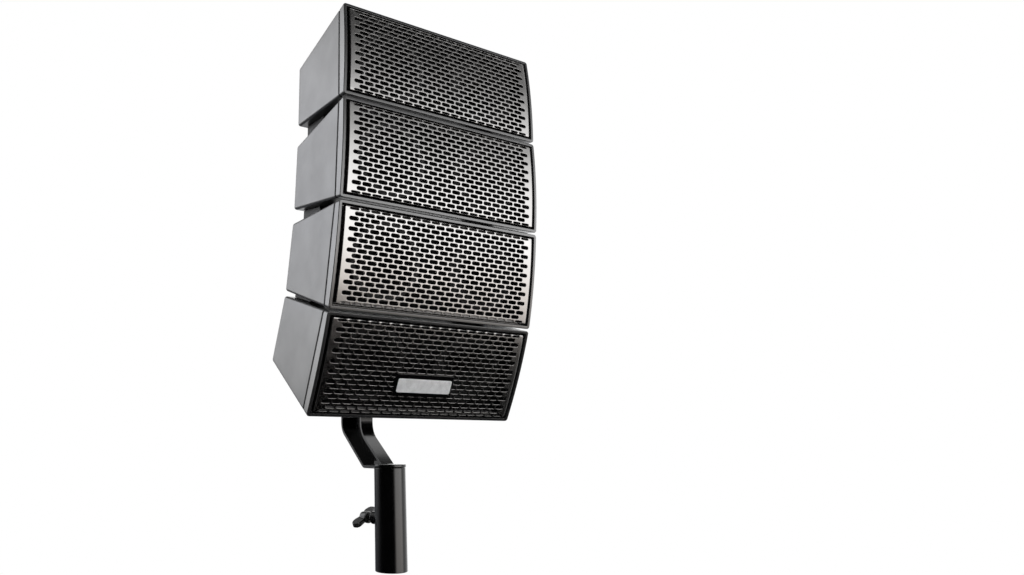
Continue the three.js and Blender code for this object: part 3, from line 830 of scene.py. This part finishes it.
def bracket_arm():
    """A channel with a flange all round it, open to the left, from the socket's cap to the mounting plate."""
    seat = DEPTH + 2 * GAP + MOUNT_PLATE
    contact = 32

    def on_rear(along, beyond=0):
        point = PLACES[4] @ Vector((0, seat + beyond, along))
        return point.y, point.z

    corners = [
        (5.5, 137.7, 0), (66, 183, 16), (*on_rear(-contact - 6, 1), 0), (*on_rear(-contact), 0),
        (*on_rear(contact), 0), (*on_rear(contact - 4, 12), 4), (132.5, 240, 12), (132.5, 187, 14),
        (60, 131, 5), (23.1, 131, 0), (23.1, 137.7, 0),
    ]
    mesh = mesh_of(*prism(round_outline(corners), -ARM_HALF_WIDTH, ARM_HALF_WIDTH))
    pocket = round_outline(inset_corners(corners, ARM_FLANGE))
    tool = mesh_of(*prism(pocket, -2 * ARM_HALF_WIDTH, ARM_HALF_WIDTH - ARM_SHEET))
    mesh = cut_away(mesh, tool)
    foot_y, foot_z = 23.2, 137.8    # the edges at the cap stay sharp

    def at_side(edge):
        first, last = (v.co / MM for v in edge.verts)
        flat = all(abs(abs(v.x) - ARM_HALF_WIDTH) < 1e-3 for v in (first, last))
        foot = all(v.z < foot_z and v.y < foot_y for v in (first, last))
        crease = len(edge.link_faces) == 2 and edge.calc_face_angle(0) > math.radians(60)
        return flat and crease and abs(first.x - last.x) < 1e-3 and not foot

    dress("bracket_arm_channel", bevel_edges(mesh, 1.5, 4, at_side), "steel", "bracket_arm", sharp=30,
          weighted=True)


def socket_tube():
    profile = [(SOCKET_BORE, 0), (SOCKET_OUTER, 0), (SOCKET_OUTER, TUBE_TOP), (SOCKET_BORE, TUBE_TOP)]
    tube = turned(soften(profile, 0.8, 4), 96, axis="z")
    drill = rod(SCREW_BORE, 10, 40, 32, place=SCREW_PLACE)
    dress("pole_socket", cut_away(tube, drill), "steel", "socket_tube", sharp=40, weighted=True)


def socket_cap():
    profile = [(0, 124), (17.7, 124), (17.7, 133), (22.8, 133), (22.8, CAP_TOP), (0, CAP_TOP)]
    cap = turned(soften(profile, 1.6, 5, skip=(2,)), 96, axis="z")
    dress("socket_end_cap", cap, "steel", "socket_cap", sharp=45, weighted=True)


def clamp_boss():
    """A turned boss, coped to the tube."""
    profile = [(SCREW_BORE, SOCKET_BORE), (BOSS_RADIUS, SOCKET_BORE), (BOSS_RADIUS, BOSS_END),
               (SCREW_BORE, BOSS_END)]
    ring = turned(soften(profile, 1.1, 5), 64, place=SCREW_PLACE)
    clear = SOCKET_OUTER + GAP
    low, high = SCREW_HEIGHT - 20, SCREW_HEIGHT + 20
    pipe = turned([(0, low), (clear, low), (clear, high), (0, high)], 96, axis="z")
    dress("clamp_boss_turned", cut_away(ring, pipe), "steel", "clamp_boss", sharp=40, weighted=True)


def clamp_pad():
    profile = [(0, 18.4), (3.8, 18.4), (3.8, 23.1), (0, 23.1)]
    pad = turned(soften(profile, 0.7, 3), 32, place=SCREW_PLACE)
    dress("clamp_pad_nylon", pad, "nylon", "clamp_pad", body="clamp_pad")


def thread_profile(start, end, pitch, root, crest):
    """The zigzag outline of a threaded rod, from axis to axis."""
    profile = [(0, start), (root, start)]
    turns = int((end - start) / pitch) - 1
    for turn in range(turns):
        base = start + pitch * (turn + 0.3)
        profile += [(root, base), (crest, base + pitch * 0.4), (crest, base + pitch * 0.55),
                    (root, base + pitch * 0.95)]
    return profile + [(root, end), (0, end)]


def wing_screw():
    """A threaded stem, and a moulded wing with two fat lobes."""
    stem = turned(thread_profile(23.7, 37.0, 1.25, 3.25, 3.8), 40, place=SCREW_PLACE)
    dress("wing_screw_stem", stem, "zinc", "wing_screw", body="wing_screw", sharp=50)
    hub_profile = soften([(0, 36), (7.4, 36), (8.2, 39), (7.0, 50.8), (0, 51.5)], 1.4, 4)
    hub = turned(hub_profile, 48)
    half = [(12, 39.5, 5), (23.2, 40.5, 7), (23.6, 52, 8), (13, 55.8, 8)]
    mirrored = [(-x, y, curve) for x, y, curve in reversed(half)]
    outline = round_outline([(0, 40, 5), *half, (0, 49.5, 7), *mirrored])
    turn = Matrix.Rotation(math.radians(-26), 4, "Y")
    blade = mesh_of(*loft([[(x, y, z) for x, y in outline] for z in (-3.2, 3.2)]), turn)
    mesh = fused([hub, blade], 0.55, 10)
    mesh.transform(Matrix.Translation((0, 0, SCREW_HEIGHT * MM)) @ Matrix.Rotation(SCREW_TURN, 4, "Z"))
    dress("wing_screw_knob", mesh, "knob", body="wing_screw", sharp=60)


def fused(parts, voxel, passes):
    """Overlapping meshes melted into one rounded moulding."""
    holder = linked("joined", gathered(*parts))
    fuse = holder.modifiers.new("fuse", "REMESH")
    fuse.mode = "VOXEL"
    fuse.voxel_size = voxel * MM
    smooth = holder.modifiers.new("smooth", "SMOOTH")
    smooth.factor = 0.6
    smooth.iterations = passes
    return baked(holder)


# ---------- drivers, in a module's frame ----------

WOOFER_X = -78.0
HORN_X = 76.0
FLANGE_BACK = 15.7
FLANGE_FRONT = 12.7
MAGNET_BACK = 74.0
HORN_DEPTH = 46.0
HORN_MOUTH = (50.0, 43.0)       # half width and half height
HORN_THROAT = 12.5
SURROUND = 39.5                 # radius of the surround's middle
WINDOWS = 6


def driver_screw(x, z, head_y, radius):
    """A pan-head screw with a hexagon recess, its head towards the front."""
    steps = ((0, 9), (0.5, 9), (0.5, 0), (1, 0), (1, -1.2), (0.75, -1.9), (0.48, -1.9), (0.48, -0.6),
             (0, -0.6))
    return turned([(radius * share, head_y + y) for share, y in steps], 24, x, z)


def baffles():
    half_x, half_z = HALF_WIDTH - WALL - 0.5, wedge_half(24) - WALL - 1
    plate = rounded_box((-half_x, 16, -half_z), (half_x, 24, half_z), 0.8)
    plate = cut_away(plate, rod(46.5, 10, 30, 96, WOOFER_X))
    mouth_x, mouth_z = HORN_MOUTH[0] + 2.5, HORN_MOUTH[1] + 2.5
    plate = cut_away(plate, rod(mouth_x, 10, 30, 96, HORN_X, squeeze=lambda y: mouth_z / mouth_x))
    copies("baffle_{}", plate, "baffle", "module_{}_baffle")


def woofer_baskets():
    """A cast frame with six windows and a ledge behind the surround, and the plated magnet behind it."""
    profile = soften([(44.5, FLANGE_FRONT), (52, FLANGE_FRONT), (52, FLANGE_BACK), (45.5, FLANGE_BACK),
                      (44.5, 23.7), (36, 52), (24, 52), (24, 49.8), (33, 49.8), (43, 22.7),
                      (43, 18.4), (38, 18.0), (38, 16.4), (44.5, 16.3)], 0.5, 3)
    frame_mesh = turned(profile, 96, WOOFER_X)
    outline = round_outline([(-15, 27, 3), (15, 27, 3), (10, 46, 3), (-10, 46, 3)])
    opening = loft([[(x, y, height) for x, y in outline] for height in (26, 60)])
    for window in range(WINDOWS):
        turn = Matrix.Translation((WOOFER_X, 0, 0)) @ Matrix.Rotation(2 * math.pi * window / WINDOWS, 4, "Y")
        frame_mesh = cut_away(frame_mesh, mesh_of(*opening, turn))
    copies("woofer_basket_{}", frame_mesh, "basket", "module_{}_woofer_basket")
    plates = [[(15.4, 52.2), (34, 52.2), (34, 56), (15.4, 56)], [(20, 56.1), (36, 56.1), (36, 69), (20, 69)]]
    plates.append([(0, 50), (12, 50), (12, 69.1), (34, 69.1), (34, MAGNET_BACK), (8, MAGNET_BACK), (6, 72.5),
                   (0, 72.5)])
    magnet = gathered(*[turned(soften(plate, 1.0, 3), 72, WOOFER_X) for plate in plates])
    copies("woofer_magnet_{}", magnet, "magnet")


def woofer_cones():
    """Paper cone with its rolled surround, dust cap and voice-coil former, which travel together."""
    edge = FLANGE_FRONT + 0.4
    neck = 42.5
    roll = arc((SURROUND, edge), 3.3, -180, 0, 10)
    back_roll = arc((SURROUND, edge + 0.2), 2.5, 0, -180, 10)
    shares = [step / 8 for step in range(8)]
    cone = [(13 + 23.0 * share, neck - (neck - edge) * share ** 0.85) for share in shares]
    front = [(0, 36.5), (5, 37.0), (9, 38.6), (12, 41.0), *cone, *roll]
    back = [(r + 0.5, y + 0.9) for r, y in reversed(cone)]
    former = [(13.8, 58), (12.9, 58), (12.6, 43.6), (9, 39.6), (5, 38), (0, 37.5)]
    mesh = turned([*front, *back_roll, *back, *former], 96, WOOFER_X)
    copies("woofer_cone_{}", mesh, "cone", "module_{}_woofer_cone", "cone_{}")


def horns():
    """A flare from a round throat to an oval mouth, with a rolled lip and mounting flanges."""
    back = FLANGE_FRONT + HORN_DEPTH
    mouth = HORN_MOUTH[0]
    wall, flange = 2.2, 6.0

    def flare(share):
        return HORN_THROAT + (mouth - HORN_THROAT) * share ** 1.8, back - HORN_DEPTH * share

    shares = [step / 16 for step in range(17)]
    inside = [flare(share) for share in shares[:-1]]
    lip = [(mouth - 0.6, FLANGE_FRONT + 0.35), (mouth + 0.5, FLANGE_FRONT)]
    outside = [(r + wall, y + 0.8) for r, y in (flare(share) for share in reversed(shares[2:-1]))]
    reach = mouth + flange
    rim = [(reach - 0.6, FLANGE_FRONT), (reach, FLANGE_FRONT + 0.6), (reach, FLANGE_BACK),
           (mouth + 1.5, FLANGE_BACK)]
    foot = [(HORN_THROAT + out, back - y) for out, y in ((3, 3.4), (11.6, 3.2), (12, 2.8), (12, 0))]
    squeeze = HORN_MOUTH[1] / mouth
    mesh = turned([*inside, *lip, *rim, *outside, *foot], 96, HORN_X,
                  squeeze=lambda y: 1 + (squeeze - 1) * (back - y) / HORN_DEPTH)
    copies("horn_{}", mesh, "horn", "module_{}_horn")


def compression_drivers():
    front = FLANGE_FRONT + HORN_DEPTH + GAP
    steps = ((0, 8), (8, 8), (8, 0), (24, 0), (24, 5), (31, 6), (31, 17), (29, 17.6), (29, 18.6), (31, 19.2),
             (31, 26), (26, 30), (7, 30), (6, 28.6), (0, 28.6))
    mesh = turned(soften([(r, front + y) for r, y in steps], 0.9, 3), 72, HORN_X)
    copies("compression_driver_{}", mesh, "basket", "module_{}_compression_driver")


def driver_screws():
    """Four screws through each woofer's flange and four through each horn's."""
    head_y = FLANGE_FRONT - 0.05
    screws = []
    for angle in (45, 135, 225, 315):
        t = math.radians(angle)
        screws.append(driver_screw(WOOFER_X + 48.6 * math.cos(t), 48.6 * math.sin(t), head_y, 2.6))
        screws.append(driver_screw(HORN_X + 53.4 * math.cos(t), 46.0 * math.sin(t), head_y, 2.2))
    copies("driver_screws_{}", gathered(*screws), "basket")


# ---------- crossover and input panel, in the top module's frame ----------

PANEL_FACE = DEPTH + GAP + 2.5
JACK_X = 20.0
JACK_BORE = 3.2
BOARD_FACE = 100.0
BOARD_SHEET = 2.0
SEAT = BOARD_FACE - 0.1         # where the components on the board end
COIL_TURNS = 9


def crossover():
    """A circuit board with two wound coils, a capacitor and a cement resistor."""
    board = rounded_box((-34, BOARD_FACE, -38), (24, BOARD_FACE + BOARD_SHEET, 38), 0.4, 2)
    fit(1, "crossover_board_plate", board, "board", "crossover_board", weighted=True)
    fit(1, "crossover_resistor", rounded_box((-16, 91, -30), (14, SEAT, -20), 1.0), "nylon", weighted=True)
    can = soften([(0, 84), (8, 84), (8, SEAT), (0, SEAT)], 1.4, 4)
    fit(1, "crossover_capacitor", turned(can, 40, 12, 12), "cone", weighted=True)
    coils = []
    wire = 14.0 / COIL_TURNS
    for x, z, radius in ((-16, 20, 13), (-14, -6, 9)):
        winding = []
        for turn in range(COIL_TURNS):
            middle = 85.5 + wire * (turn + 0.5)
            winding += [(radius - 0.9, middle - wire * 0.46), (radius - 0.25, middle - wire * 0.25),
                        (radius - 0.25, middle + wire * 0.25), (radius - 0.9, middle + wire * 0.46)]
        core = radius * 0.45
        coils.append(turned([(core, 84.8), *winding, (core, SEAT)], 40, x, z))
    fit(1, "crossover_coils", gathered(*coils), "zinc", sharp=40)


def recessed_screw(x, z, face, radius, height, length):
    """A screw from behind: domed head with a hexagon recess, and a plain shank."""
    steps = ((0, -length), (0.47, -length), (0.47, 0), (1, 0), (1, height * 0.55), (0.72, height),
             (0.45, height), (0.45, height * 0.35), (0, height * 0.35))
    profile = soften([(radius * share, face + y) for share, y in steps], 0.3, 2)
    return turned(profile, 36, x, z)


def thread_collar(radius, bore, start, end, pitch):
    """The bore and the threaded outside of a jack's collar, ending where its barrel begins."""
    profile = [(bore, start), (bore, end - 0.5), (bore + 0.5, end), (radius - 0.5, end)]
    turns = int((end - start - 2) / pitch)
    for turn in range(turns):
        at = end - 0.5 - pitch * turn
        profile += [(radius, at), (radius - 0.35, at - pitch * 0.5)]
    return profile + [(radius, start)]


def hex_nut(x, face, radius, bore, height):
    """A hexagon nut with chamfered corners."""
    outside, inside = [], []
    for step in range(48):
        angle = 2 * math.pi * step / 48
        sector = (angle + math.pi / 6) % (math.pi / 3) - math.pi / 6
        flat = radius * math.cos(math.pi / 6) / math.cos(sector)
        outside.append((flat * math.sin(angle), flat * math.cos(angle)))
        inside.append((bore * math.sin(angle), bore * math.cos(angle)))

    def ring(outline, y, limit=math.inf):
        scales = [min(1.0, limit / math.hypot(a, b)) for a, b in outline]
        return [(x + a * scale, y, b * scale) for (a, b), scale in zip(outline, scales)]

    rings = [ring(inside, face), ring(outside, face), ring(outside, face + height * 0.75),
             ring(outside, face + height, radius * 0.93), ring(inside, face + height)]
    return mesh_of(*loft(rings, round_trip=True))


def input_panel():
    plate = rounded_box((-46, DEPTH + GAP, -26), (46, PANEL_FACE, 26), 0.7)
    for x in (-JACK_X, JACK_X):
        plate = cut_away(plate, rod(6.5, DEPTH - 5, DEPTH + 9, 48, x))
    fit(1, "input_panel_plate", plate, "steel", "input_plate", weighted=True)
    collar = thread_collar(6.0, JACK_BORE, DEPTH - 1.9, PANEL_FACE + 5.0, 0.8)
    barrel = [(9, DEPTH - 2.2), (9, PANEL_FACE - 30), (JACK_BORE, PANEL_FACE - 30)]
    for side, x in (("left", -JACK_X), ("right", JACK_X)):
        jack = turned([*collar, *barrel], 48, x)
        fit(1, f"jack_{side}", jack, "zinc", f"input_jack_{side}", sharp=40)
        nut = hex_nut(x, PANEL_FACE + GAP, 9.5, 6.2, 3.0)
        fit(1, f"jack_nut_{side}", nut, "zinc", f"input_jack_nut_{side}", sharp=25, weighted=True)
    for number, (x, z) in enumerate(((-42, -22), (42, -22), (-42, 22), (42, 22)), 1):
        screw = recessed_screw(x, z, PANEL_FACE + GAP, 3.2, 2.0, 8.0)
        fit(1, f"panel_screw_{number}", screw, "zinc", f"input_plate_screw_{number}")


# ---------- splay blocks, mounting plate and bolts ----------

def splay_blocks():
    """The block in each wedge between two modules, near each side: its CAD solid with rounded edges."""
    def round_off(work):
        bmesh.ops.remove_doubles(work, verts=work.verts, dist=1e-5)
        bmesh.ops.dissolve_limit(work, angle_limit=math.radians(1), verts=work.verts, edges=work.edges)
        bmesh.ops.bevel(work, geom=work.edges[:], offset=1.0 * MM, segments=3, affect="EDGES", profile=0.5,
                        clamp_overlap=True)

    for upper in range(1, MODULES):
        for side in ("left", "right"):
            place = f"{upper}_{upper + 1}_{side}"
            mesh = edited(frame["nodes"][f"splay_block_{place}"].data.copy(), round_off)
            dress(f"splay_link_{place}", mesh, "steel", f"splay_block_{place}", weighted=True, look="link")


def mounting_plate():
    low, high = DEPTH + GAP, DEPTH + GAP + MOUNT_PLATE
    plate = rounded_box((-48, low, -35), (48, high, 35), 1.2)
    spots = [(x, z) for z in (-26, 26) for x in (-38, 38)]
    for x, z in spots:
        plate = cut_away(plate, rod(3.4, low - 5, high + 5, 32, x, z))
    fit(4, "mounting_plate", plate, "steel", "mount_plate", weighted=True)
    for number, (x, z) in enumerate(spots, 1):
        bolt = recessed_screw(x, z, high + GAP, 6.0, 4.4, 14.0)
        fit(4, f"mounting_bolt_{number}", bolt, "zinc", f"mount_bolt_{number}")


# ---------- studio ----------

FLOOR_HALF = 4.0                # metres
FLOOR_DROP = 1.0                # the floor is this far down, out of the photo's view


def make_floor():
    material = Shader("floor", (0.82, 0.82, 0.82), 0.8)
    material.vary_color(material.noise(3), (0.80, 0.80, 0.80))
    half, z = FLOOR_HALF, cad_bounds[0].z - FLOOR_DROP
    mesh = bpy.data.meshes.new("floor")
    corners = [(-half, -half, z), (half, -half, z), (half, half, z), (-half, half, z)]
    mesh.from_pydata(corners, [], [(0, 1, 2, 3)])
    mesh.materials.append(material.material)
    floor = linked("floor", mesh)
    floor.visible_glossy = False


class Studio(Nodes):
    """A surround built of soft light panels, each a band of elevations within a window of azimuths."""

    def __init__(self):
        world = bpy.data.worlds.new("studio")
        bpy.context.scene.world = world
        world.use_nodes = True
        world.cycles.sampling_method = "NONE"
        super().__init__(world.node_tree)
        self.tree.nodes.clear()
        direction = self.add("TexCoord").outputs["Generated"]
        self.height = self.add("SeparateXYZ", direction).outputs["Z"]
        flat = self.vector("MULTIPLY", direction, (1, 1, 0))["Vector"]
        self.heading = self.vector("NORMALIZE", flat)["Vector"]

    def vector(self, operation, *values):
        node = self.add("VectorMath", *values)
        node.operation = operation
        return node.outputs

    def ramp(self, value, stops, ease=False):
        """A colour ramp over value, which runs from -1 to 1. Stops are (value, level or colour)."""
        spread = self.add("MapRange", Value=value, From_Min=-1, From_Max=1).outputs["Result"]
        ramp = self.add("ValToRGB", Fac=spread)
        ramp.color_ramp.interpolation = "EASE" if ease else "LINEAR"
        elements = ramp.color_ramp.elements
        elements.remove(elements[-1])
        for index, (at, level) in enumerate(stops):
            position = (at + 1) / 2
            element = elements.new(position) if index else elements[0]
            element.position = position
            element.color = (*level, 1) if isinstance(level, tuple) else (level, level, level, 1)
        return ramp.outputs["Color"]

    def by_elevation(self, stops):
        return self.ramp(self.height, [(math.sin(math.radians(at)), level) for at, level in stops])

    def by_azimuth(self, centre, half, soft):
        """Full within half a width of centre, and dark from there on over a soft edge, in degrees."""
        angle = math.radians(centre)
        along = self.vector("DOT_PRODUCT", self.heading, (math.cos(angle), math.sin(angle), 0))["Value"]
        outer, inner = math.cos(math.radians(half + soft)), math.cos(math.radians(half))
        return self.ramp(along, [(outer, 0), (inner, 1)], ease=True)

    def product(self, first, second):
        mix = self.add("Mix")
        mix.data_type = "RGBA"
        mix.blend_type = "MULTIPLY"
        self.feed(mix, Factor=1.0, A=first, B=second)
        return mix.outputs["Result"]

    def light(self, strength, color=(1, 1, 1, 1)):
        return self.add("Background", Strength=strength, Color=color).outputs["Background"]

    def choose(self, ray, no, yes):
        return self.add("MixShader", ray, no, yes).outputs["Shader"]


BASE = [(-90, 0.001), (-25, 0.0015), (0, 0.003), (30, 0.005), (52, 0.008), (66, 0.5), (90, 0.6)]
BASE_STRENGTH = 4.0
DIFFUSE_LIGHT = 0.9
BACKDROP = 1.0

# Each soft panel: its levels by elevation, then centre, half width and softness by azimuth, and its strength.
PANELS = (
    # front right, about eye level: what the grilles and the socket's bright streak show
    ([(-21, 0), (-18, (0.23, 0.21, 0.195)), (-15, (0.52, 0.48, 0.45)), (-11, (0.70, 0.655, 0.62)),
      (-5, (0.84, 0.80, 0.77)), (0, 0.92), (6, 1.0), (13, 0.82), (18, 0.64), (23, 0.38), (28, 0.19),
      (33, 0.085), (40, 0.02), (46, 0.004), (60, 0), (90, 0)], (302, 18, 18), 8.0),
    # behind on the left: the cabinets' sides
    ([(-30, 0), (-8, 0.03), (0, 0.15), (5, 0.85), (9, (0.97, 0.98, 1.0)), (20, (0.90, 0.91, 0.95)),
      (31, (0.96, 0.97, 1.0)), (35, 0.55), (45, 0.3), (60, 0.15), (90, 0)], (130, 8, 19), 4.9),
    # a low glow all round the left: the socket's dim left edge
    ([(-40, 0), (-25, (0.52, 0.54, 0.60)), (-3, (0.52, 0.54, 0.60)), (4, 0.3), (10, 0)], (95, 15, 75), 0.4),
    # behind on the right: the rear faces and the socket's right edge
    ([(-40, 0), (-25, 0.35), (-10, 0.6), (18, 0.6), (30, 0.8), (50, 1.0), (70, 0.5), (90, 0)],
     (20, 40, 20), 2.4),
    # light thrown back from the ground in front
    ([(-90, 0.3), (-25, 0.3), (-14, 0)], (222, 25, 20), 0.4),
)


def make_world():
    """A white backdrop, even diffuse light, and soft panels that show only in gloss."""
    studio = Studio()
    glossy = studio.light(BASE_STRENGTH, studio.by_elevation(BASE))
    for levels, window, strength in PANELS:
        color = studio.product(studio.by_elevation(levels), studio.by_azimuth(*window))
        panel = studio.light(strength, color)
        glossy = studio.add("AddShader", glossy, panel).outputs["Shader"]
    ray = studio.add("LightPath").outputs
    indirect = studio.choose(ray["Is Diffuse Ray"], glossy, studio.light(DIFFUSE_LIGHT))
    seen = studio.choose(ray["Is Camera Ray"], indirect, studio.light(BACKDROP))
    studio.add("OutputWorld", seen)


for module in range(1, MODULES + 1):
    cabinet_shell(module)
    front_bezel(module)
    grille(module)
for build in (baffles, woofer_baskets, woofer_cones, horns, compression_drivers, driver_screws, crossover,
              input_panel, splay_blocks, mounting_plate, badge, bracket_arm, socket_tube, socket_cap,
              clamp_boss, clamp_pad, wing_screw, make_floor, make_world):
    build()
